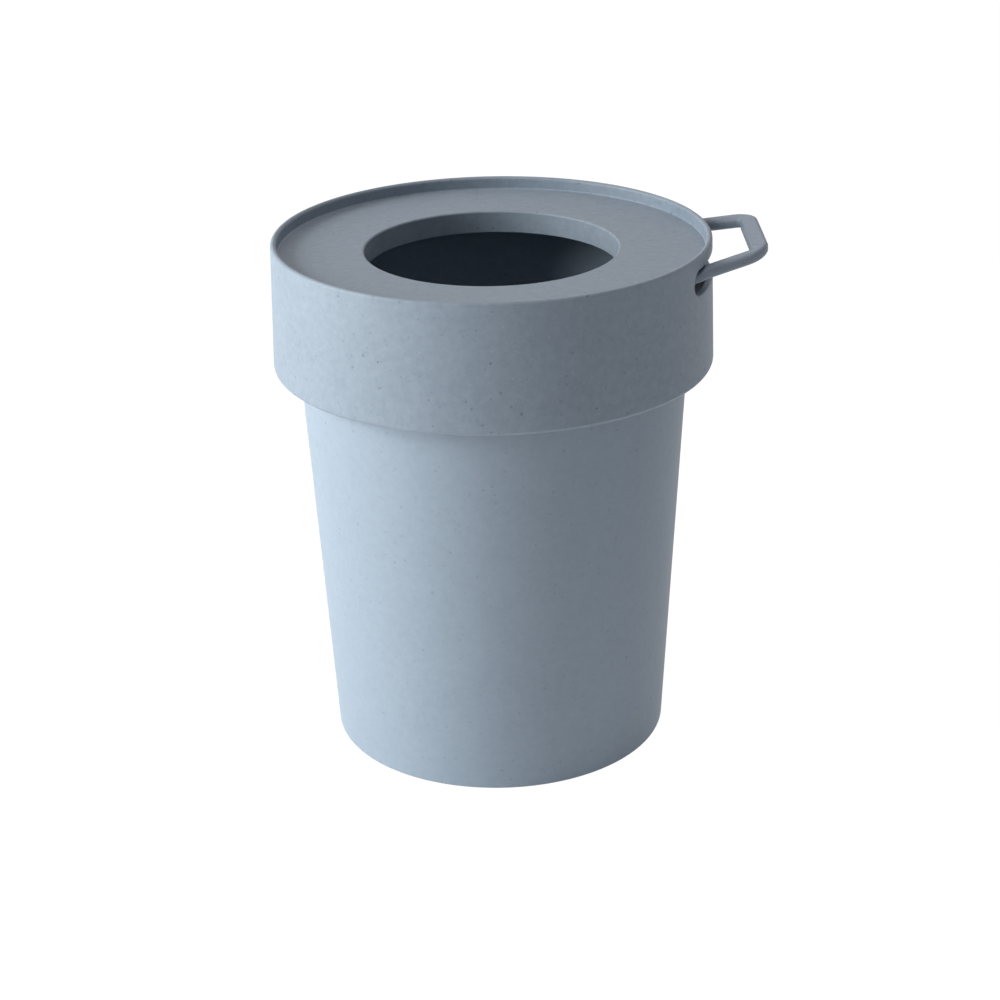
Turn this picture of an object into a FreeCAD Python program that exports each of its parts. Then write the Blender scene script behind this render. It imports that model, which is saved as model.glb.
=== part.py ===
import FreeCAD, Part
import math
import os

from FreeCAD import Vector

# Round waste bin: a tapered bucket, a cap-type cover with a drop hole and a skirt that hides
# the bag's edge, and a loop handle hinged under the cover on a steel rod.
# Millimetres. +Z is up, the origin is the middle of the base, and the loop points along +X.

# Bucket
bucket_height = 249.0
base_radius = 87.3
bucket_taper = 3.19            # degrees that the wall leans outwards
bucket_wall = 2.5
base_thickness = 3.0
base_edge_radius = 1.5
base_inner_radius = 5.0        # fillet between the wall and the floor inside
rim_overhang = 1.6             # how far the bead at the mouth stands out from the wall
rim_height = 4.0
rim_edge_radius = 1.0

# Cover
bag_gap = 4.2                  # room for a turned-over bag between the bead and the skirt
cover_wall = 3.0
lip_flat = 0.04                # level strip left between the two roundings of the lip
skirt_height = 64.7
skirt_flare = 1.7              # how much wider the skirt is at its lower edge
skirt_edge_radius = 1.2
disc_recess = 6.6              # from the top of the collar down to the disc
disc_thickness = 2.2
disc_fillet = 0.8              # hollow rounding where the disc meets the collar
hole_radius = 63.6
hole_lip_radius = 1.0
throat_wall = 2.2
throat_depth = 11.7            # from the disc's top down to the throat's lower edge
throat_edge_radius = 0.5

# Ribs under the disc, which rest on the bucket's bead and centre the cover in its mouth
rib_count = 9
rib_thickness = 2.2
rib_free_angle = 52.0          # degrees each side of the handle with no rib
rib_nose_width = 6.0
rib_nose_depth = 7.0
rib_nose_rounding = 2.0
centring_clearance = 0.6

# Loop handle
loop_reach = 25.8              # from the collar's top edge out to the loop's tip
loop_end_span = 58.4           # end bar, between the centre lines of the arms
arm_splay = 19.0               # degrees that each arm opens towards the bin
loop_tilt = 11.9               # degrees that the loop rises towards its tip
bar_width = 8.0
bar_thickness = 5.9
bar_edge_radius = 1.9
loop_outer_corner = 15.5
loop_inner_corner = 3.6
arm_bend_radius = 3.0          # where the arms are cranked to pass under the disc
arm_bend_length = 0.24         # least length of the arms' lower bend: a slight one gets a larger radius

# Slot in the skirt
slot_clearance = 0.3           # above the arms, where the raised loop stops
swing_room = 6.7               # below the arms, for the loop to swing down
slot_side_room = 8.5           # beside the arms
slot_edge_radius = 0.8

# Hinge
rod_radius = 2.0
rod_end_chamfer = 0.4
rod_proud = 0.5                # how far the rod stands out of the outer lugs
eye_clearance = 0.05
eye_wall = 2.0
eye_side_gap = 0.3
under_disc_gap = 0.4           # between the disc and the eyes
eye_rim_gap = 1.4              # between the eyes and the bucket's bead
lug_thickness = 3.0
lug_clearance = 0.02
lug_wall_gap = 0.3             # between the lugs' corners and the skirt

ORIGIN = Vector(0, 0, 0)
X_AXIS = Vector(1, 0, 0)
Y_AXIS = Vector(0, 1, 0)
Z_AXIS = Vector(0, 0, 1)
SMALLEST_EDGE = 1e-6
ON_SURFACE = 0.08              # how far a point on the skirt's face may lie from it by formula
UPRIGHT_NORMAL_Z = 0.3         # a face whose normal rises less than this stands upright

# Hinge sizes that the cover's height follows from
eye_radius = rod_radius + eye_clearance + eye_wall
lug_half_width = eye_radius

# Heights
disc_bottom = bucket_height + eye_rim_gap + 2 * eye_radius + under_disc_gap
disc_top = disc_bottom + disc_thickness
cover_top = disc_top + disc_recess
skirt_bottom = cover_top - skirt_height
throat_bottom = disc_top - throat_depth
hinge_z = disc_bottom - under_disc_gap - eye_radius

# Radii
bucket_slope = math.tan(math.radians(bucket_taper))
rim_outer_radius = base_radius + bucket_height * bucket_slope + rim_overhang
collar_inner_radius = rim_outer_radius + bag_gap
collar_outer_radius = collar_inner_radius + cover_wall
skirt_slope = skirt_flare / skirt_height

# Loop handle in plan: an arm's centre line is y = arm_offset - arm_slope * x
end_x = collar_outer_radius + loop_reach - bar_width / 2
end_half = loop_end_span / 2
arm_slope = math.tan(math.radians(arm_splay))
arm_offset = end_half + end_x * arm_slope
arm_half = bar_width / 2 / math.cos(math.radians(arm_splay))
tilt_slope = math.tan(math.radians(loop_tilt))
bar_height = bar_thickness / math.cos(math.radians(loop_tilt))

# Slot
slot_top = disc_top
slot_height = slot_clearance + bar_height + swing_room
slot_bottom = slot_top - slot_height


def bucket_radius(z):
    """Outer radius of the bucket's wall at a height."""
    return base_radius + z * bucket_slope


def skirt_radius(z):
    """Outer radius of the skirt at a height."""
    return collar_outer_radius + (cover_top - z) * skirt_slope


def arm_y(x):
    """Distance of an arm's centre line from the loop's middle plane."""
    return arm_offset - arm_slope * x


def crossing_x(radius, ahead, aside):
    """The x of the arm's centre line whose point that far ahead and aside lies on a circle."""
    side = arm_offset + aside
    a = 1 + arm_slope ** 2
    b = 2 * (ahead - arm_slope * side)
    c = ahead ** 2 + side ** 2 - radius ** 2
    return (-b + math.sqrt(b ** 2 - 4 * a * c)) / (2 * a)


# Where the hinge line lies: as far out as the corners of the outer lugs allow
hinge_x = crossing_x(collar_inner_radius - lug_wall_gap, lug_half_width,
                     arm_half + eye_side_gap + lug_thickness)
eye_inner_y = arm_y(hinge_x + lug_half_width) - arm_half
eye_outer_y = arm_y(hinge_x) + arm_half
lug_outer_y = eye_outer_y + eye_side_gap + lug_thickness


def rounded_corner(before, corner, after):
    """Start, middle and end of the tangent arc that rounds a corner (x, y, radius)."""
    point = Vector(corner[0], corner[1], 0)
    to_before = (Vector(before[0], before[1], 0) - point).normalize()
    to_after = (Vector(after[0], after[1], 0) - point).normalize()
    half_angle = to_before.getAngle(to_after) / 2
    reach = corner[2] / math.tan(half_angle)
    inwards = (to_before + to_after).normalize()
    middle = point + inwards * (corner[2] / math.sin(half_angle) - corner[2])
    return point + to_before * reach, middle, point + to_after * reach


def outline(corners):
    """Face in the XY plane with corners (x, y, radius), each rounded by its radius."""
    count = len(corners)
    arcs = [rounded_corner(corners[i - 1], corners[i], corners[(i + 1) % count]) for i in range(count)]
    edges = []
    for i in range(count):
        start, middle, end = arcs[i]
        next_start = arcs[(i + 1) % count][0]
        if corners[i][2] > 0:
            edges.append(Part.Arc(start, middle, end).toShape())
        if (next_start - end).Length > SMALLEST_EDGE:
            edges.append(Part.LineSegment(end, next_start).toShape())
    return Part.Face(Part.Wire(edges))


def upright(face):
    """The same face stood up, so that its y becomes the height."""
    return face.rotated(ORIGIN, X_AXIS, 90)


def turned(corners):
    """Solid of revolution from corners (radius, height, rounding), with its seam opposite the loop."""
    section = upright(outline(corners)).rotated(ORIGIN, Z_AXIS, 180)
    return section.revolve(ORIGIN, Z_AXIS, 360)


def across(corners, low_y, high_y):
    """Prism along Y from corners (x, z, rounding)."""
    face = upright(outline(corners)).translated(Vector(0, low_y, 0))
    return face.extrude(Vector(0, high_y - low_y, 0))


def cylinder_along_y(radius, low_y, high_y):
    """Cylinder on the hinge line."""
    return Part.makeCylinder(radius, high_y - low_y, Vector(hinge_x, low_y, hinge_z), Y_AXIS)


def both_sides(shape):
    """The shape and its mirror image across the loop's middle plane."""
    return [shape, shape.mirror(ORIGIN, Y_AXIS)]


def make_bucket():
    """Tapered bucket with a flat base and a bead round its mouth."""
    bead_bottom = bucket_height - rim_height
    mouth_radius = bucket_radius(bucket_height) - bucket_wall
    floor_radius = bucket_radius(base_thickness) - bucket_wall
    return turned([
        (0, 0, 0),
        (base_radius, 0, base_edge_radius),
        (bucket_radius(bead_bottom), bead_bottom, 0),
        (rim_outer_radius, bead_bottom, rim_edge_radius),
        (rim_outer_radius, bucket_height, rim_edge_radius),
        (mouth_radius, bucket_height, rim_edge_radius),
        (floor_radius, base_thickness, base_inner_radius),
        (0, base_thickness, 0),
    ])


def make_cover_shell():
    """Collar, skirt, recessed disc and throat, in one turned section."""
    lip_radius = (cover_wall - lip_flat) / 2
    throat_outer = hole_radius + throat_wall
    return turned([
        (hole_radius, throat_bottom, throat_edge_radius),
        (hole_radius, disc_top, hole_lip_radius),
        (skirt_radius(disc_top) - cover_wall, disc_top, disc_fillet),
        (collar_inner_radius, cover_top, lip_radius),
        (collar_outer_radius, cover_top, lip_radius),
        (skirt_radius(skirt_bottom), skirt_bottom, skirt_edge_radius),
        (skirt_radius(skirt_bottom) - cover_wall, skirt_bottom, skirt_edge_radius),
        (skirt_radius(disc_bottom) - cover_wall, disc_bottom, 0),
        (throat_outer, disc_bottom, 0),
        (throat_outer, throat_bottom, throat_edge_radius),
    ])


def make_slot():
    """Wide slot with round ends through the skirt, under the level of the disc."""
    arm_x = crossing_x(skirt_radius(slot_top), 0, arm_half)
    half_width = arm_y(arm_x) + arm_half + slot_side_room
    end_radius = slot_height / 2
    past_skirt = skirt_radius(skirt_bottom) + cover_wall
    window = upright(outline([
        (-half_width, slot_bottom, end_radius),
        (half_width, slot_bottom, end_radius),
        (half_width, slot_top, end_radius),
        (-half_width, slot_top, end_radius),
    ])).rotated(ORIGIN, Z_AXIS, 90)
    wall = turned([
        (collar_inner_radius, skirt_bottom, 0),
        (past_skirt, skirt_bottom, 0),
        (past_skirt, cover_top, 0),
        (collar_inner_radius, cover_top, 0),
    ])
    return window.extrude(Vector(past_skirt, 0, 0)).common(wall)


def slot_rim(cover):
    """The edges of the slot on the skirt's outer face."""
    found = []
    for edge in cover.Edges:
        point = edge.valueAt((edge.FirstParameter + edge.LastParameter) / 2)
        on_skirt = abs(math.hypot(point.x, point.y) - skirt_radius(point.z)) < ON_SURFACE
        beside_slot = slot_bottom - slot_edge_radius < point.z < slot_top + slot_edge_radius
        if on_skirt and beside_slot and point.x > 0:
            found.append(edge)
    return found


def make_rib():
    """One rib along +X: its step rests on the bead and its nose reaches into the mouth."""
    nose_bottom = bucket_height - rib_nose_depth
    nose_top_radius = bucket_radius(bucket_height) - bucket_wall - centring_clearance
    nose_tip_radius = bucket_radius(nose_bottom) - bucket_wall - centring_clearance
    inner_radius = nose_tip_radius - rib_nose_width
    inside_wall = collar_inner_radius + cover_wall / 2
    inside_disc = disc_bottom + disc_thickness / 2
    return across([
        (inner_radius, inside_disc, 0),
        (inner_radius, nose_bottom, rib_nose_rounding),
        (nose_tip_radius, nose_bottom, rib_nose_rounding),
        (nose_top_radius, bucket_height, 0),
        (inside_wall, bucket_height, 0),
        (inside_wall, inside_disc, 0),
    ], -rib_thickness / 2, rib_thickness / 2)


def make_lug(low_y, high_y):
    """One hinge lug, a plate that hangs from the disc."""
    inside_disc = disc_bottom + disc_thickness / 2
    plate = Part.makeBox(2 * lug_half_width, high_y - low_y, inside_disc - hinge_z,
                         Vector(hinge_x - lug_half_width, low_y, hinge_z))
    return plate.fuse(cylinder_along_y(lug_half_width, low_y, high_y))


def make_cover():
    """Cover with its slot, ribs and hinge lugs."""
    cover = make_cover_shell().cut(make_slot())
    cover = cover.makeFillet(slot_edge_radius, slot_rim(cover))
    rib = make_rib()
    rib_arc = 360 - 2 * rib_free_angle
    added = []
    for i in range(rib_count):
        angle = rib_free_angle + rib_arc * i / (rib_count - 1)
        added.append(rib.rotated(ORIGIN, Z_AXIS, angle))
    added += both_sides(make_lug(eye_outer_y + eye_side_gap, lug_outer_y))
    added += both_sides(make_lug(eye_inner_y - eye_side_gap - lug_thickness, eye_inner_y - eye_side_gap))
    cover = cover.fuse(added)
    bore = cylinder_along_y(rod_radius + lug_clearance, -lug_outer_y, lug_outer_y)
    return cover.cut(bore).removeSplitter()


def loop_plan():
    """The loop from above, as a tall prism: two splayed arms joined by the end bar."""
    outer_x = end_x + bar_width / 2
    inner_x = end_x - bar_width / 2
    outside = outline([
        (hinge_x, -arm_y(hinge_x) - arm_half, 0),
        (outer_x, -arm_y(outer_x) - arm_half, loop_outer_corner),
        (outer_x, arm_y(outer_x) + arm_half, loop_outer_corner),
        (hinge_x, arm_y(hinge_x) + arm_half, 0),
    ])
    behind = hinge_x - eye_radius
    inside = outline([
        (behind, -arm_y(behind) + arm_half, 0),
        (inner_x, -arm_y(inner_x) + arm_half, loop_inner_corner),
        (inner_x, arm_y(inner_x) - arm_half, loop_inner_corner),
        (behind, arm_y(behind) - arm_half, 0),
    ])
    return outside.cut(inside).extrude(Vector(0, 0, 2 * cover_top))


def loop_side():
    """The loop from the side, as a wide prism: a tilted bar, cranked down to the eyes."""
    wall_x = crossing_x(skirt_radius(slot_top), 0, -arm_half)
    under_x = crossing_x(collar_inner_radius, 0, -arm_half)
    past_tip = end_x + bar_width
    wall_top = slot_top - slot_clearance
    wall_bottom = wall_top - bar_height
    rise = (past_tip - wall_x) * tilt_slope
    eye_top = hinge_z + eye_radius
    # The lower face runs from the skirt to where it is tangent to the eye
    ahead = wall_x - hinge_x
    above = wall_bottom - hinge_z
    distance = math.hypot(ahead, above)
    angle = math.atan2(above, ahead) - math.acos(eye_radius / distance)
    turn = abs(math.radians(loop_tilt - 90) - angle)
    lower_bend_radius = max(arm_bend_radius, arm_bend_length / turn)
    half_width = arm_offset
    return across([
        (hinge_x, eye_top, 0),
        (hinge_x + eye_radius * math.cos(angle), hinge_z + eye_radius * math.sin(angle), 0),
        (wall_x, wall_bottom, lower_bend_radius),
        (past_tip, wall_bottom + rise, 0),
        (past_tip, wall_top + rise, 0),
        (wall_x, wall_top, arm_bend_radius),
        (under_x, eye_top, arm_bend_radius),
    ], -half_width, half_width)


def is_wall(face):
    """Whether a face of the loop stands upright."""
    u_low, u_high, v_low, v_high = face.ParameterRange
    return abs(face.normalAt((u_low + u_high) / 2, (v_low + v_high) / 2).z) < UPRIGHT_NORMAL_Z


def loop_edges(loop):
    """The long edges of the bar, between its upright and its flat faces, short of the eyes."""
    found = []
    for edge in loop.Edges:
        kinds = {is_wall(face) for face in loop.ancestorsOfType(edge, Part.Face)}
        if len(kinds) == 2 and edge.CenterOfMass.x > hinge_x + eye_radius / 2:
            found.append(edge)
    return found


def make_loop_handle():
    """Loop handle with an eye at the end of each arm."""
    loop = loop_plan().common(loop_side())
    loop = loop.makeFillet(bar_edge_radius, loop_edges(loop))
    loop = loop.fuse(both_sides(cylinder_along_y(eye_radius, eye_inner_y, eye_outer_y)))
    bore = cylinder_along_y(rod_radius + eye_clearance, -lug_outer_y, lug_outer_y)
    return loop.cut(bore).removeSplitter()


def make_hinge_rod():
    """Steel rod through the lugs and the eyes."""
    end_y = lug_outer_y + rod_proud
    rod = cylinder_along_y(rod_radius, -end_y, end_y)
    ends = [edge for edge in rod.Edges if abs(edge.CenterOfMass.y) > lug_outer_y]
    return rod.makeChamfer(rod_end_chamfer, ends)


pieces = {
    "bucket": make_bucket(),
    "cover": make_cover(),
    "loop_handle": make_loop_handle(),
    "hinge_rod": make_hinge_rod(),
}

os.makedirs("parts", exist_ok=True)
for name, piece in pieces.items():
    solid = piece.Solids[0]
    print(name, "solids", len(piece.Solids), "valid", solid.isValid(), "cm3", round(solid.Volume / 1000, 2))
    solid.exportStep("parts/" + name + ".step")
print("height", round(cover_top, 2), "collar", round(collar_outer_radius, 2), "hinge at", round(hinge_x, 2),
      round(hinge_z, 2), "eyes", round(eye_inner_y, 2), round(eye_outer_y, 2))
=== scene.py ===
import math

import bmesh
import bpy
from mathutils import Matrix, Vector


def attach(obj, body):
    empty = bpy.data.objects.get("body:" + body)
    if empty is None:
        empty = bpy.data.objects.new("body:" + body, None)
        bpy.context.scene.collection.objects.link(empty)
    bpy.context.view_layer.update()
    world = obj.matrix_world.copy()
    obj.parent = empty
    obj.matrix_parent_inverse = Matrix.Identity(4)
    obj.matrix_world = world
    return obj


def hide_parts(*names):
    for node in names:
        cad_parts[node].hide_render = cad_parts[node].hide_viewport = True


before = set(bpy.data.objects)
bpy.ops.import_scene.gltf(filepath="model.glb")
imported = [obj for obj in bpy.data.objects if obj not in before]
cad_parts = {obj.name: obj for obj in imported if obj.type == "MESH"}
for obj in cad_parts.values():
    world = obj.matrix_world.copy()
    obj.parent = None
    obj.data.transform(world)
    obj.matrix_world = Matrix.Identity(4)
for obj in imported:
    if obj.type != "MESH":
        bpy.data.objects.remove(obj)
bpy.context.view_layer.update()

MM = 0.001


# Materials


def linear(hex_colour):
    """Linear RGBA of an sRGB colour written as RRGGBB."""
    channels = [int(hex_colour[i:i + 2], 16) / 255 for i in (0, 2, 4)]
    return tuple(c / 12.92 if c <= 0.04045 else ((c + 0.055) / 1.055) ** 2.4 for c in channels) + (1.0,)


def per_metre(size_mm):
    """Texture scale that gives features of a size in millimetres."""
    return 1 / (size_mm * MM)


def add_node(tree, kind, values=None, links=None, **settings):
    """Adds a node with its settings, input values and links from other nodes' outputs."""
    node = tree.nodes.new(kind)
    for name, value in settings.items():
        setattr(node, name, value)
    for name, value in (values or {}).items():
        node.inputs[name].default_value = value
    for name, socket in (links or {}).items():
        tree.links.new(socket, node.inputs[name])
    return node


def empty_tree(owner):
    """Node tree of a material or world, with nothing in it."""
    owner.use_nodes = True
    owner.node_tree.nodes.clear()
    return owner.node_tree


def mix_colours(tree, share, first, second):
    """Colour between two, each an sRGB hex or a socket, by a share from a socket."""
    mix = add_node(tree, "ShaderNodeMix", data_type="RGBA")
    tree.links.new(share, mix.inputs[0])
    for slot, colour in ((6, first), (7, second)):
        if isinstance(colour, str):
            mix.inputs[slot].default_value = linear(colour)
        else:
            tree.links.new(colour, mix.inputs[slot])
    return mix.outputs[2]


def flecks(tree, place, cell_mm, least_mm, most_mm, softness):
    """Mask of flecks, one at most in a cell, with radii between two sizes, and each cell's own tone."""
    cells = add_node(tree, "ShaderNodeTexVoronoi", {"Scale": per_metre(cell_mm)}, {"Vector": place})
    tones = add_node(tree, "ShaderNodeSeparateColor", links={"Color": cells.outputs["Color"]})
    radius = add_node(tree, "ShaderNodeMapRange",
                      {"To Min": least_mm / cell_mm, "To Max": most_mm / cell_mm},
                      {"Value": tones.outputs["Red"]})
    core = add_node(tree, "ShaderNodeMath", {1: 1 - softness}, {0: radius.outputs["Result"]},
                    operation="MULTIPLY")
    mask = add_node(tree, "ShaderNodeMapRange", {"To Min": 1.0, "To Max": 0.0},
                    {"Value": cells.outputs["Distance"], "From Min": core.outputs[0],
                     "From Max": radius.outputs["Result"]}, interpolation_type="SMOOTHSTEP")
    return mask.outputs["Result"], tones.outputs["Green"]


def fibre_filled_plastic(name, shift_mm, fleck_strength, darker, lighter):
    """Moulded polypropylene with plant fibre: satin blue-grey, finely clouded, dark and pale flecks.

    The shift moves the piece to its own place in the texture, so that no two pieces have the same flecks.
    """
    ragged_mm = 0.9
    mottle_mm = 22
    cloud_mm = 4
    cloud_share = 0.7
    grain_mm = 0.7
    grain_depth_mm = 0.05
    material = bpy.data.materials.new(name)
    tree = empty_tree(material)
    position = add_node(tree, "ShaderNodeTexCoord")
    moved = add_node(tree, "ShaderNodeMapping", {"Location": [value * MM for value in shift_mm]},
                     {"Vector": position.outputs["Object"]})
    place = moved.outputs["Vector"]

    # The flecks are bits of husk, so a fine noise pushes their outlines out of round
    ragged = add_node(tree, "ShaderNodeTexNoise", {"Scale": per_metre(ragged_mm), "Detail": 1.0},
                      {"Vector": place})
    push = add_node(tree, "ShaderNodeVectorMath", {1: (0.5, 0.5, 0.5)}, {0: ragged.outputs["Color"]},
                    operation="SUBTRACT")
    pushed = add_node(tree, "ShaderNodeVectorMath", {1: [ragged_mm * MM] * 3},
                      {0: push.outputs["Vector"], 2: place}, operation="MULTIPLY_ADD")

    # Colour: broad mottling with fine clouds of fibre, then many faint specks, then few dark husks
    mottle = add_node(tree, "ShaderNodeTexNoise",
                      {"Scale": per_metre(mottle_mm), "Detail": 3.0, "Roughness": 0.55}, {"Vector": place})
    clouds = add_node(tree, "ShaderNodeTexNoise",
                      {"Scale": per_metre(cloud_mm), "Detail": 3.0, "Roughness": 0.7}, {"Vector": place})
    tone = add_node(tree, "ShaderNodeMix", {0: cloud_share},
                    {2: mottle.outputs["Fac"], 3: clouds.outputs["Fac"]})
    body = mix_colours(tree, tone.outputs[0], darker, lighter)
    speck_mask, speck_tone = flecks(
        tree, pushed.outputs["Vector"], cell_mm=2.6, least_mm=0.25, most_mm=0.8, softness=0.9)
    speck_share = add_node(tree, "ShaderNodeMath", {1: 0.6 * fleck_strength}, {0: speck_mask},
                           operation="MULTIPLY")
    speck_colour = mix_colours(tree, speck_tone, "505A65", "9CA8B5")
    specked = mix_colours(tree, speck_share.outputs[0], body, speck_colour)
    husk_mask, husk_tone = flecks(
        tree, pushed.outputs["Vector"], cell_mm=4.6, least_mm=0.45, most_mm=1.2, softness=0.8)
    few_dark = add_node(tree, "ShaderNodeMath", {1: 1.8}, {0: husk_tone}, operation="POWER")
    husk_depth = add_node(tree, "ShaderNodeMapRange",
                          {"To Min": 0.08 * fleck_strength, "To Max": 0.55 * fleck_strength},
                          {"Value": few_dark.outputs[0]})
    husk_share = add_node(tree, "ShaderNodeMath", links={0: husk_mask, 1: husk_depth.outputs["Result"]},
                          operation="MULTIPLY")
    colour = mix_colours(tree, husk_share.outputs[0], specked, "363D46")

    # Surface: the fine bite of a spark-eroded mould, which also weakens the reflections
    grain = add_node(tree, "ShaderNodeTexNoise", {"Scale": per_metre(grain_mm), "Detail": 2.0},
                     {"Vector": place})
    gloss = add_node(tree, "ShaderNodeMapRange", {"To Min": 0.48, "To Max": 0.6},
                     {"Value": mottle.outputs["Fac"]})
    bump = add_node(tree, "ShaderNodeBump", {"Strength": 0.12, "Distance": grain_depth_mm * MM},
                    {"Height": grain.outputs["Fac"]})
    shader = add_node(tree, "ShaderNodeBsdfPrincipled", {"IOR": 1.5, "Specular IOR Level": 0.34}, {
        "Base Color": colour, "Roughness": gloss.outputs["Result"], "Normal": bump.outputs["Normal"]})
    add_node(tree, "ShaderNodeOutputMaterial", links={"Surface": shader.outputs["BSDF"]})
    return material


def drawn_stainless_steel(name):
    """Stainless rod as drawn through a die: bright grey, with fine streaks along its length."""
    streak_mm = 0.4
    streak_stretch = 0.03
    material = bpy.data.materials.new(name)
    tree = empty_tree(material)
    position = add_node(tree, "ShaderNodeTexCoord")
    stretched = add_node(tree, "ShaderNodeMapping", {"Scale": (1, streak_stretch, 1)},
                         {"Vector": position.outputs["Object"]})
    streaks = add_node(tree, "ShaderNodeTexNoise", {"Scale": per_metre(streak_mm), "Detail": 3.0},
                       {"Vector": stretched.outputs["Vector"]})
    gloss = add_node(tree, "ShaderNodeMapRange", {"To Min": 0.2, "To Max": 0.38},
                     {"Value": streaks.outputs["Fac"]})
    shader = add_node(tree, "ShaderNodeBsdfPrincipled", {"Metallic": 1.0}, {
        "Base Color": mix_colours(tree, streaks.outputs["Fac"], "B4B6B9", "D2D4D6"),
        "Roughness": gloss.outputs["Result"]})
    add_node(tree, "ShaderNodeOutputMaterial", links={"Surface": shader.outputs["BSDF"]})
    return material


def seen_directly(tree):
    """1 for what the camera, a reflection or a refraction sees, 0 for the light that falls on things."""
    path = add_node(tree, "ShaderNodeLightPath")
    seen = add_node(tree, "ShaderNodeMath", operation="MAXIMUM", links={
        0: path.outputs["Is Camera Ray"], 1: path.outputs["Is Glossy Ray"]})
    return add_node(tree, "ShaderNodeMath", operation="MAXIMUM", links={
        0: seen.outputs[0], 1: path.outputs["Is Transmission Ray"]}).outputs[0]


def white_paper(name, glow_share, bounce):
    """Matt white sweep paper: part of its white is glow, so that it stays pale, the rest takes the shadow.

    The bounce is what the paper adds to the light on the bin, as paper lit from all sides does.
    """
    glow_strength = 1.05  # makes up for the shadow in the rest
    material = bpy.data.materials.new(name)
    tree = empty_tree(material)
    paper = add_node(tree, "ShaderNodeBsdfDiffuse", {"Color": linear("F0F0F0")})
    back = add_node(tree, "ShaderNodeEmission", {"Color": linear("FFFFFF"), "Strength": bounce})
    lit = add_node(tree, "ShaderNodeAddShader", links={
        0: paper.outputs["BSDF"], 1: back.outputs["Emission"]})
    glow = add_node(tree, "ShaderNodeEmission", {"Color": linear("FFFFFF"), "Strength": glow_strength})
    share = add_node(tree, "ShaderNodeMath", {1: glow_share}, {0: seen_directly(tree)},
                     operation="MULTIPLY")
    mixed = add_node(tree, "ShaderNodeMixShader", links={
        0: share.outputs[0], 1: lit.outputs["Shader"], 2: glow.outputs["Emission"]})
    add_node(tree, "ShaderNodeOutputMaterial", links={"Surface": mixed.outputs["Shader"]})
    return material


finishes = {
    # Bucket and cover are one plastic. The cover's colours are set darker and the bucket's lighter, as
    # painted shade on the cover and painted light on the bucket.
    "bucket": fibre_filled_plastic(
        "moulded_fibre_plastic_bucket", shift_mm=(0, 0, 0), fleck_strength=0.55,
        darker="7F8E9D", lighter="92A1AF"),
    "cover": fibre_filled_plastic(
        "moulded_fibre_plastic_cover", shift_mm=(310, 170, 90), fleck_strength=1.0,
        darker="6F7D8B", lighter="8F9DAA"),
    "loop_handle": fibre_filled_plastic(
        "moulded_fibre_plastic_loop", shift_mm=(520, 60, 230), fleck_strength=0.6,
        darker="74818F", lighter="84919E"),
    "hinge_rod": drawn_stainless_steel("drawn_stainless_steel_rod"),
}
for node_name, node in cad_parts.items():
    node.data.materials.clear()
    node.data.materials.append(finishes[node_name])


# Modelled pieces. Sizes in millimetres, the same as the solids' but for three roundings

SEGMENTS = 192                 # round the bin's axis
HINGE_SEGMENTS = 48            # round the hinge line
ROUNDING_STEPS = 6             # round a quarter of an edge
SHARP_ANGLE = math.radians(35)
TOUCHING_MM = 0.005            # vertices nearer than this are one

# Bucket
BUCKET_HEIGHT = 249.0
BASE_RADIUS = 87.3
BUCKET_SLOPE = math.tan(math.radians(3.19))
BUCKET_WALL = 2.5
BASE_THICKNESS = 3.0
BASE_EDGE_ROUNDING = 1.5
BASE_INNER_ROUNDING = 5.0
RIM_OVERHANG = 1.6
RIM_HEIGHT = 4.0
RIM_ROUNDING = 1.0

# Cover
COLLAR_INNER = 106.977
COVER_WALL = 3.0
COVER_TOP = 267.7
LIP_ROUNDING = 1.48
SKIRT_BOTTOM = 203.0
SKIRT_FLARE = 1.7
SKIRT_OUTER_ROUNDING = 2.3     # rounder than the solid's, as the light line along it in the photo shows
SKIRT_INNER_ROUNDING = 0.6     # smaller than the solid's, so that both fit on the wall
DISC_TOP = 261.1
DISC_BOTTOM = 258.9
DISC_FILLET = 0.8
HOLE_RADIUS = 63.6
HOLE_LIP_ROUNDING = 1.0
THROAT_WALL = 2.2
THROAT_BOTTOM = 249.4
THROAT_ROUNDING = 0.5
RIB_COUNT = 9
RIB_THICKNESS = 2.2
RIB_FREE_ANGLE = math.radians(52)  # each side of the handle, with no rib
RIB_NOSE_WIDTH = 6.0
RIB_NOSE_DEPTH = 7.0
RIB_NOSE_ROUNDING = 2.0
RIB_CLEARANCE = 0.6            # between the noses and the bucket's wall

# Loop handle and its hinge
LOOP_TIP_X = 135.777
LOOP_END_HALF = 29.2           # from the middle plane to an arm's centre line, at the end bar
BAR_WIDTH = 8.0
BAR_THICKNESS = 5.9
BAR_ROUNDING = 2.4             # rounder than the solid's, as the photo shows
LOOP_OUTER_CORNER = 15.5
LOOP_INNER_CORNER = 3.6
ARM_SPLAY = math.radians(19.0)
LOOP_TILT = math.radians(11.9)
HINGE_X = 89.487
HINGE_Z = 254.45
ROD_RADIUS = 2.0
EYE_RADIUS = 4.05
EYE_INNER_Y = 38.14
EYE_OUTER_Y = 47.99
EYE_SIDE_GAP = 0.3
EYE_CLEARANCE = 0.05
LUG_THICKNESS = 3.0
LUG_CLEARANCE = 0.02
SLOT_CLEARANCE = 0.3           # over the arms
SLOT_SWING_ROOM = 6.7          # under the arms
SLOT_SIDE_ROOM = 8.5           # beside the arms
SLOT_ROUNDING = 0.8
SLOT_EDGE_CUTS = 48            # along each straight edge, so that the rim follows the skirt
ARM_OUTSIDE_AT_SKIRT = 100.96  # x where an arm's outer side meets the skirt, level with the disc
ARM_INSIDE_AT_SKIRT = 104.67   # x where its inner side does
ARM_CRANK_LENGTH = 3.8         # from the skirt in to where an arm runs under the disc
ARM_CRANK_HEIGHT = 4.9         # of an arm at that place
ARM_ROOT_HEIGHT = 7.695        # of an arm at the hinge line, inside its eye

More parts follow.
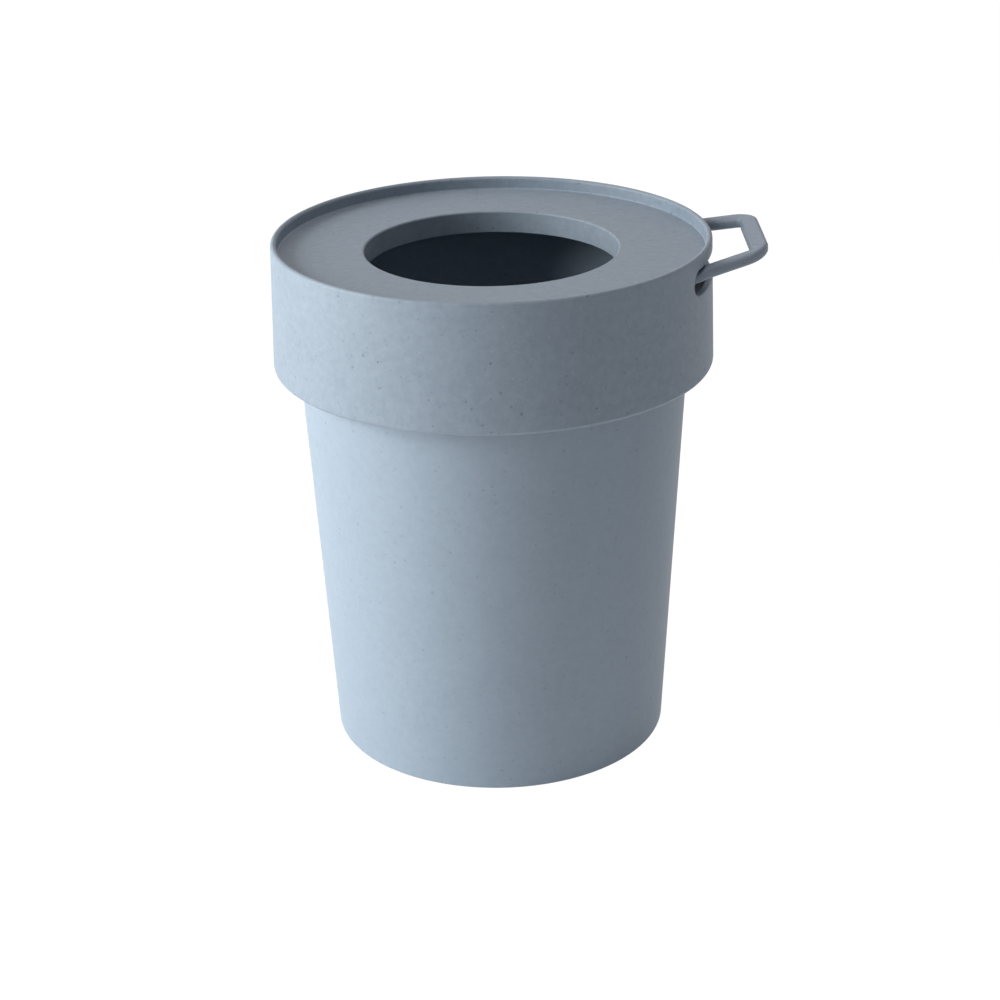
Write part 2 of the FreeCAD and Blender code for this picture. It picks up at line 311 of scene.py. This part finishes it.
BAR_HEIGHT = BAR_THICKNESS / math.cos(LOOP_TILT)
ARM_HALF = BAR_WIDTH / 2 / math.cos(ARM_SPLAY)
END_X = LOOP_TIP_X - BAR_WIDTH / 2
SLOT_HEIGHT = SLOT_CLEARANCE + BAR_HEIGHT + SLOT_SWING_ROOM


def bucket_radius(z):
    """Outer radius of the bucket's wall at a height."""
    return BASE_RADIUS + z * BUCKET_SLOPE


def skirt_radius(z):
    """Outer radius of the skirt at a height."""
    return COLLAR_INNER + COVER_WALL + (COVER_TOP - z) * SKIRT_FLARE / (COVER_TOP - SKIRT_BOTTOM)


def arm_y(x):
    """Distance of an arm's centre line from the loop's middle plane."""
    return LOOP_END_HALF + (END_X - x) * math.tan(ARM_SPLAY)


def skirt_x(y, z):
    """The x of the skirt's outer face on the loop's side."""
    return math.sqrt(skirt_radius(z) ** 2 - y ** 2)


def select_vertices(piece, wanted):
    """In edit mode, selects just the vertices that a test on their place in millimetres picks."""
    bpy.ops.mesh.select_mode(type="VERT")
    bpy.ops.mesh.select_all(action="DESELECT")
    mesh = bmesh.from_edit_mesh(piece.data)
    for vertex in mesh.verts:
        vertex.select_set(wanted(vertex.co / MM))
    mesh.select_flush_mode()
    bmesh.update_edit_mesh(piece.data)


def move_selected(piece, new_place):
    """In edit mode, puts each selected vertex at a place worked out from its old one, in millimetres."""
    mesh = bmesh.from_edit_mesh(piece.data)
    for vertex in mesh.verts:
        if vertex.select:
            vertex.co = Vector(new_place(vertex.co / MM)) * MM
    bmesh.update_edit_mesh(piece.data)


def rounded_face(name, corners):
    """New piece in edit mode: one face with corners (point, rounding), each rounded by a vertex bevel."""
    bpy.ops.object.select_all(action="DESELECT")
    bpy.ops.mesh.primitive_circle_add(vertices=len(corners), fill_type="NGON")
    piece = bpy.context.object
    piece.name = name
    points = [Vector(point) for point, rounding in corners]
    for vertex, point in zip(piece.data.vertices, points):
        vertex.co = point * MM
    bpy.ops.object.mode_set(mode="EDIT")
    for i, (point, rounding) in enumerate(corners):
        if rounding > 0:
            to_last = points[i - 1] - points[i]
            to_next = points[(i + 1) % len(points)] - points[i]
            reach = rounding / math.tan(to_last.angle(to_next) / 2)
            select_vertices(piece, lambda place: (place - points[i]).length < TOUCHING_MM)
            bpy.ops.mesh.bevel(offset=reach * MM, affect="VERTICES", segments=ROUNDING_STEPS)
    bpy.ops.mesh.select_all(action="SELECT")
    return piece


def turned(name, corners):
    """Piece turned round the bin's axis from corners (radius, height, rounding)."""
    piece = rounded_face(name, [((radius, 0, height), rounding) for radius, height, rounding in corners])
    bpy.ops.mesh.delete(type="ONLY_FACE")
    bpy.ops.mesh.select_all(action="SELECT")
    bpy.ops.mesh.spin(steps=SEGMENTS, angle=2 * math.pi, center=(0, 0, 0), axis=(0, 0, 1))
    bpy.ops.mesh.select_all(action="SELECT")
    bpy.ops.mesh.remove_doubles(threshold=TOUCHING_MM * MM)
    bpy.ops.mesh.delete_loose()
    bpy.ops.mesh.select_all(action="SELECT")
    bpy.ops.mesh.normals_make_consistent(inside=False)
    bpy.ops.object.mode_set(mode="OBJECT")
    return piece


def extruded(name, corners, step):
    """Prism from corners (point, rounding) along a step in millimetres."""
    piece = rounded_face(name, corners)
    bpy.ops.mesh.extrude_region_move(TRANSFORM_OT_translate={"value": Vector(step) * MM})
    bpy.ops.mesh.select_all(action="SELECT")
    bpy.ops.mesh.normals_make_consistent(inside=False)
    bpy.ops.object.mode_set(mode="OBJECT")
    return piece


def hinge_cylinder(radius, low_y, high_y):
    """Cylinder on the hinge line, as a tool."""
    bpy.ops.object.select_all(action="DESELECT")
    bpy.ops.mesh.primitive_cylinder_add(
        vertices=HINGE_SEGMENTS, radius=radius * MM, depth=(high_y - low_y) * MM,
        rotation=(math.pi / 2, 0, 0), location=Vector((HINGE_X, (low_y + high_y) / 2, HINGE_Z)) * MM)
    return bpy.context.object


def combine(piece, tool, operation):
    """Cuts a tool out of a piece, or joins it on, and removes the tool."""
    modifier = piece.modifiers.new("combine", "BOOLEAN")
    modifier.object = tool
    modifier.operation = operation
    modifier.solver = "EXACT"
    bpy.context.view_layer.objects.active = piece
    bpy.ops.object.modifier_apply(modifier=modifier.name)
    bpy.data.objects.remove(tool)


def finish_piece(piece, node, body):
    """Merges doubles, smooths the shading, and lets the piece stand for its CAD node."""
    bpy.ops.object.select_all(action="DESELECT")
    piece.select_set(True)
    bpy.context.view_layer.objects.active = piece
    bpy.ops.object.mode_set(mode="EDIT")
    bpy.ops.mesh.select_all(action="SELECT")
    bpy.ops.mesh.remove_doubles(threshold=TOUCHING_MM * MM)
    bpy.ops.mesh.normals_make_consistent(inside=False)
    bpy.ops.object.mode_set(mode="OBJECT")
    bpy.ops.object.shade_smooth_by_angle(angle=SHARP_ANGLE)
    weighted = piece.modifiers.new("weighted", "WEIGHTED_NORMAL")
    weighted.keep_sharp = True
    bpy.ops.object.modifier_apply(modifier=weighted.name)
    piece.data.materials.clear()
    piece.data.materials.append(finishes[node])
    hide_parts(node)
    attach(piece, body)


def model_bucket():
    """Tapered tub with a flat base and a bead round its mouth."""
    bead_bottom = BUCKET_HEIGHT - RIM_HEIGHT
    bead_radius = bucket_radius(BUCKET_HEIGHT) + RIM_OVERHANG
    return turned("bucket_shell", [
        (0, 0, 0),
        (BASE_RADIUS, 0, BASE_EDGE_ROUNDING),
        (bucket_radius(bead_bottom), bead_bottom, 0),
        (bead_radius, bead_bottom, RIM_ROUNDING),
        (bead_radius, BUCKET_HEIGHT, RIM_ROUNDING),
        (bucket_radius(BUCKET_HEIGHT) - BUCKET_WALL, BUCKET_HEIGHT, RIM_ROUNDING),
        (bucket_radius(BASE_THICKNESS) - BUCKET_WALL, BASE_THICKNESS, BASE_INNER_ROUNDING),
        (0, BASE_THICKNESS, 0),
    ])


def model_cover_shell():
    """Collar, skirt, recessed disc and throat, in one turned section."""
    throat_outer = HOLE_RADIUS + THROAT_WALL
    return turned("cover_shell", [
        (HOLE_RADIUS, THROAT_BOTTOM, THROAT_ROUNDING),
        (HOLE_RADIUS, DISC_TOP, HOLE_LIP_ROUNDING),
        (skirt_radius(DISC_TOP) - COVER_WALL, DISC_TOP, DISC_FILLET),
        (COLLAR_INNER, COVER_TOP, LIP_ROUNDING),
        (COLLAR_INNER + COVER_WALL, COVER_TOP, LIP_ROUNDING),
        (skirt_radius(SKIRT_BOTTOM), SKIRT_BOTTOM, SKIRT_OUTER_ROUNDING),
        (skirt_radius(SKIRT_BOTTOM) - COVER_WALL, SKIRT_BOTTOM, SKIRT_INNER_ROUNDING),
        (skirt_radius(DISC_BOTTOM) - COVER_WALL, DISC_BOTTOM, 0),
        (throat_outer, DISC_BOTTOM, 0),
        (throat_outer, THROAT_BOTTOM, THROAT_ROUNDING),
    ])


def slot_plug():
    """Tool for the slot, trumpet-shaped at the skirt's face, so that the slot's rim comes out rounded."""
    inside_x = HINGE_X - EYE_RADIUS
    outside_x = LOOP_TIP_X
    half_width = arm_y(ARM_OUTSIDE_AT_SKIRT) + ARM_HALF + SLOT_SIDE_ROOM
    half_height = SLOT_HEIGHT / 2
    middle_z = DISC_TOP - half_height
    low, high = DISC_TOP - SLOT_HEIGHT, DISC_TOP
    plug = rounded_face("slot_plug", [
        ((inside_x, -half_width, low), half_height - TOUCHING_MM),
        ((inside_x, half_width, low), half_height - TOUCHING_MM),
        ((inside_x, half_width, high), half_height - TOUCHING_MM),
        ((inside_x, -half_width, high), half_height - TOUCHING_MM),
    ])
    select_vertices(plug, lambda place: abs(place.y) < half_width - half_height + 2 * TOUCHING_MM)
    bpy.ops.mesh.subdivide(number_cuts=SLOT_EDGE_CUTS)
    bpy.ops.mesh.select_all(action="SELECT")
    growth = 0
    for step in range(ROUNDING_STEPS + 1):
        turn = math.pi / 2 * step / ROUNDING_STEPS
        depth = SLOT_ROUNDING * (1 - math.sin(turn))
        new_growth = SLOT_ROUNDING * (1 - math.cos(turn))
        wider = (half_width + new_growth) / (half_width + growth)
        taller = (half_height + new_growth) / (half_height + growth)
        bpy.ops.mesh.extrude_region_move()
        bpy.ops.transform.resize(value=(1, wider, taller), center_override=(0, 0, middle_z * MM))
        move_selected(plug, lambda place: (skirt_x(place.y, place.z) - depth, place.y, place.z))
        growth = new_growth
    bpy.ops.mesh.extrude_region_move()
    move_selected(plug, lambda place: (outside_x, place.y, place.z))
    bpy.ops.mesh.select_all(action="SELECT")
    bpy.ops.mesh.normals_make_consistent(inside=False)
    bpy.ops.object.mode_set(mode="OBJECT")
    bpy.ops.object.select_all(action="DESELECT")
    bpy.ops.mesh.primitive_cylinder_add(
        vertices=SEGMENTS, radius=COLLAR_INNER * MM, depth=4 * SLOT_HEIGHT * MM,
        location=(0, 0, middle_z * MM))
    combine(plug, bpy.context.object, "DIFFERENCE")
    return plug


def model_rib(angle):
    """One rib under the disc: its step rests on the bead and its nose reaches into the mouth."""
    nose_bottom = BUCKET_HEIGHT - RIB_NOSE_DEPTH
    nose_tip = bucket_radius(nose_bottom) - BUCKET_WALL - RIB_CLEARANCE
    nose_top = bucket_radius(BUCKET_HEIGHT) - BUCKET_WALL - RIB_CLEARANCE
    nose_inside = nose_tip - RIB_NOSE_WIDTH
    inside_wall = COLLAR_INNER + COVER_WALL / 2
    inside_disc = (DISC_TOP + DISC_BOTTOM) / 2
    side = -RIB_THICKNESS / 2
    rib = extruded("rib", [
        ((nose_inside, side, inside_disc), 0),
        ((nose_inside, side, nose_bottom), RIB_NOSE_ROUNDING),
        ((nose_tip, side, nose_bottom), RIB_NOSE_ROUNDING),
        ((nose_top, side, BUCKET_HEIGHT), 0),
        ((inside_wall, side, BUCKET_HEIGHT), 0),
        ((inside_wall, side, inside_disc), 0),
    ], (0, RIB_THICKNESS, 0))
    rib.rotation_euler.z = angle
    return rib


def model_lug(low_y):
    """One hinge lug, a plate with a round end that hangs from the disc."""
    inside_disc = (DISC_TOP + DISC_BOTTOM) / 2
    return extruded("lug", [
        ((HINGE_X - EYE_RADIUS, low_y, inside_disc), 0),
        ((HINGE_X - EYE_RADIUS, low_y, HINGE_Z - EYE_RADIUS), EYE_RADIUS - TOUCHING_MM),
        ((HINGE_X + EYE_RADIUS, low_y, HINGE_Z - EYE_RADIUS), EYE_RADIUS - TOUCHING_MM),
        ((HINGE_X + EYE_RADIUS, low_y, inside_disc), 0),
    ], (0, LUG_THICKNESS, 0))


def model_cover():
    """Cover with its slot, ribs, hinge lugs and the rod's bore."""
    cover = model_cover_shell()
    combine(cover, slot_plug(), "DIFFERENCE")
    rib_step = (2 * math.pi - 2 * RIB_FREE_ANGLE) / (RIB_COUNT - 1)
    for i in range(RIB_COUNT):
        combine(cover, model_rib(RIB_FREE_ANGLE + i * rib_step), "UNION")
    outer_lug = EYE_OUTER_Y + EYE_SIDE_GAP
    inner_lug = EYE_INNER_Y - EYE_SIDE_GAP - LUG_THICKNESS
    for low_y in (outer_lug, inner_lug, -inner_lug - LUG_THICKNESS, -outer_lug - LUG_THICKNESS):
        combine(cover, model_lug(low_y), "UNION")
    bore_end = outer_lug + 2 * LUG_THICKNESS
    combine(cover, hinge_cylinder(ROD_RADIUS + LUG_CLEARANCE, -bore_end, bore_end), "DIFFERENCE")
    return cover


def model_loop():
    """Loop handle: a tilted, rounded bar bent into a trapezoid, with an eye at the end of each arm."""
    wall_x = ARM_INSIDE_AT_SKIRT
    wall_bottom = DISC_TOP - SLOT_CLEARANCE - BAR_HEIGHT
    inner_tip = END_X - BAR_WIDTH / 2

    def corner(x, side, aside, rounding):
        height = wall_bottom + (x - wall_x) * math.tan(LOOP_TILT)
        return (x, side * (arm_y(x) + aside), height), rounding

    loop = extruded("loop_bar", [
        corner(wall_x, -1, ARM_HALF, 0),
        corner(LOOP_TIP_X, -1, ARM_HALF, LOOP_OUTER_CORNER),
        corner(LOOP_TIP_X, 1, ARM_HALF, LOOP_OUTER_CORNER),
        corner(wall_x, 1, ARM_HALF, 0),
        corner(wall_x, 1, -ARM_HALF, 0),
        corner(inner_tip, 1, -ARM_HALF, LOOP_INNER_CORNER),
        corner(inner_tip, -1, -ARM_HALF, LOOP_INNER_CORNER),
        corner(wall_x, -1, -ARM_HALF, 0),
    ], (0, 0, BAR_HEIGHT))
    bpy.ops.object.mode_set(mode="EDIT")
    round_long_edges(loop)
    for side in (-1, 1):
        extend_arm(loop, side, wall_x)
    bpy.ops.object.mode_set(mode="OBJECT")
    for low_y, high_y in ((EYE_INNER_Y, EYE_OUTER_Y), (-EYE_OUTER_Y, -EYE_INNER_Y)):
        combine(loop, hinge_cylinder(EYE_RADIUS, low_y, high_y), "UNION")
    bore_end = 2 * EYE_OUTER_Y
    combine(loop, hinge_cylinder(ROD_RADIUS + EYE_CLEARANCE, -bore_end, bore_end), "DIFFERENCE")
    return loop


def round_long_edges(loop):
    """In edit mode, rounds the edges between the bar's upright and flat faces."""
    flat_from = 0.5   # least upward or downward share of a flat face's normal
    root_from = 0.99  # the same inward, for the arms' ends at the skirt
    bpy.ops.mesh.select_mode(type="EDGE")
    bpy.ops.mesh.select_all(action="DESELECT")
    mesh = bmesh.from_edit_mesh(loop.data)
    for edge in mesh.edges:
        normals = [face.normal for face in edge.link_faces]
        one_flat = sum(abs(normal.z) > flat_from for normal in normals) == 1
        at_root = any(normal.x < -root_from for normal in normals)
        edge.select_set(one_flat and not at_root)
    bmesh.update_edit_mesh(loop.data)
    bpy.ops.mesh.bevel(offset=BAR_ROUNDING * MM, segments=ROUNDING_STEPS, affect="EDGES")


def extend_arm(loop, side, wall_x):
    """In edit mode, takes an arm on from the skirt, cranked down under the disc, to the hinge line."""
    wall_middle = DISC_TOP - SLOT_CLEARANCE - BAR_HEIGHT / 2
    eye_top = HINGE_Z + EYE_RADIUS
    stations = [
        (wall_x - ARM_CRANK_LENGTH, eye_top - ARM_CRANK_HEIGHT / 2, ARM_CRANK_HEIGHT),
        (HINGE_X, HINGE_Z, ARM_ROOT_HEIGHT),
    ]
    select_vertices(loop, lambda place: abs(place.x - wall_x) < TOUCHING_MM and place.y * side > 0)
    last_x, last_z, last_height = wall_x, wall_middle, BAR_HEIGHT
    for x, z, height in stations:
        aside = side * (arm_y(x) - arm_y(last_x))
        bpy.ops.mesh.extrude_region_move(
            TRANSFORM_OT_translate={"value": Vector((x - last_x, aside, z - last_z)) * MM})
        bpy.ops.transform.resize(value=(1, 1, height / last_height), center_override=(0, 0, z * MM))
        last_x, last_z, last_height = x, z, height


finish_piece(model_bucket(), "bucket", "bucket")
finish_piece(model_cover(), "cover", "cover")
finish_piece(model_loop(), "loop_handle", "loop")


# Studio

FLOOR_SIZE = 6.0
bpy.ops.object.select_all(action="DESELECT")
bpy.ops.mesh.primitive_plane_add(size=FLOOR_SIZE)
floor = bpy.context.object
floor.name = "floor"
floor.data.materials.append(white_paper("white_paper", glow_share=0.92, bounce=0.25))


def white_room(ambient):
    """World that lights the bin softly and evenly, and looks white itself."""
    world = bpy.data.worlds.new("white_room")
    bpy.context.scene.world = world
    tree = empty_tree(world)
    soft = add_node(tree, "ShaderNodeBackground", {"Color": linear("ECF0FA"), "Strength": ambient})
    white = add_node(tree, "ShaderNodeBackground", {"Color": linear("FFFFFF"), "Strength": 1.0})
    mixed = add_node(tree, "ShaderNodeMixShader", links={
        0: seen_directly(tree), 1: soft.outputs["Background"], 2: white.outputs["Background"]})
    add_node(tree, "ShaderNodeOutputWorld", links={"Surface": mixed.outputs["Shader"]})


LAMP_DISTANCE = 1.6
LAMP_AIM = Vector((0, 0, 0.15))


def soft_box(name, azimuth, elevation, width, height, power, colour):
    """Rectangular lamp that stands round the bin, at an angle from +X, and looks at its middle."""
    lamp = bpy.data.lights.new(name, "AREA")
    lamp.shape = "RECTANGLE"
    lamp.size = width
    lamp.size_y = height
    lamp.energy = power
    lamp.color = linear(colour)[:3]
    holder = bpy.data.objects.new(name, lamp)
    bpy.context.scene.collection.objects.link(holder)
    round_bin = Matrix.Rotation(math.radians(azimuth), 3, "Z")
    upwards = Matrix.Rotation(math.radians(-elevation), 3, "Y")
    holder.location = LAMP_AIM + round_bin @ upwards @ Vector((LAMP_DISTANCE, 0, 0))
    holder.rotation_euler = (LAMP_AIM - holder.location).to_track_quat("-Z", "Y").to_euler()


white_room(ambient=0.16)
soft_box("window", azimuth=191, elevation=18, width=1.0, height=1.2, power=42.0, colour="FFFEFB")
soft_box("ceiling_bounce", azimuth=0, elevation=82, width=0.9, height=0.9, power=7.9, colour="FFECE4")


# Camera at the photo's view

CAMERA_DISTANCE = 1.0714       # metres from the bin's axis, along the floor
CAMERA_HEIGHT = 0.5864         # metres above the floor
CAMERA_PITCH = 23.394          # degrees below the horizon
CAMERA_YAW = 0.097             # degrees that the view turns to the right of the bin's axis
CAMERA_ROLL = -1.13            # degrees
CAMERA_AZIMUTH = -0.37         # degrees that the camera stands round the bin's axis
FOCAL_PIXELS = 2225.2
PICTURE_PIXELS = 1000
lens = bpy.data.cameras.new("photo_view")
lens.lens = FOCAL_PIXELS / PICTURE_PIXELS * lens.sensor_width
camera = bpy.data.objects.new("photo_view", lens)
bpy.context.scene.collection.objects.link(camera)
stand = Matrix.Rotation(math.radians(CAMERA_AZIMUTH), 4, "Z") @ Matrix.Translation(
    (0, -CAMERA_DISTANCE, CAMERA_HEIGHT))
aim = (Matrix.Rotation(math.radians(-CAMERA_YAW), 4, "Z")
       @ Matrix.Rotation(math.radians(90 - CAMERA_PITCH), 4, "X")
       @ Matrix.Rotation(math.radians(CAMERA_ROLL), 4, "Z"))
camera.matrix_world = stand @ aim
bpy.context.scene.camera = camera
bpy.context.scene.view_settings.view_transform = "Standard"
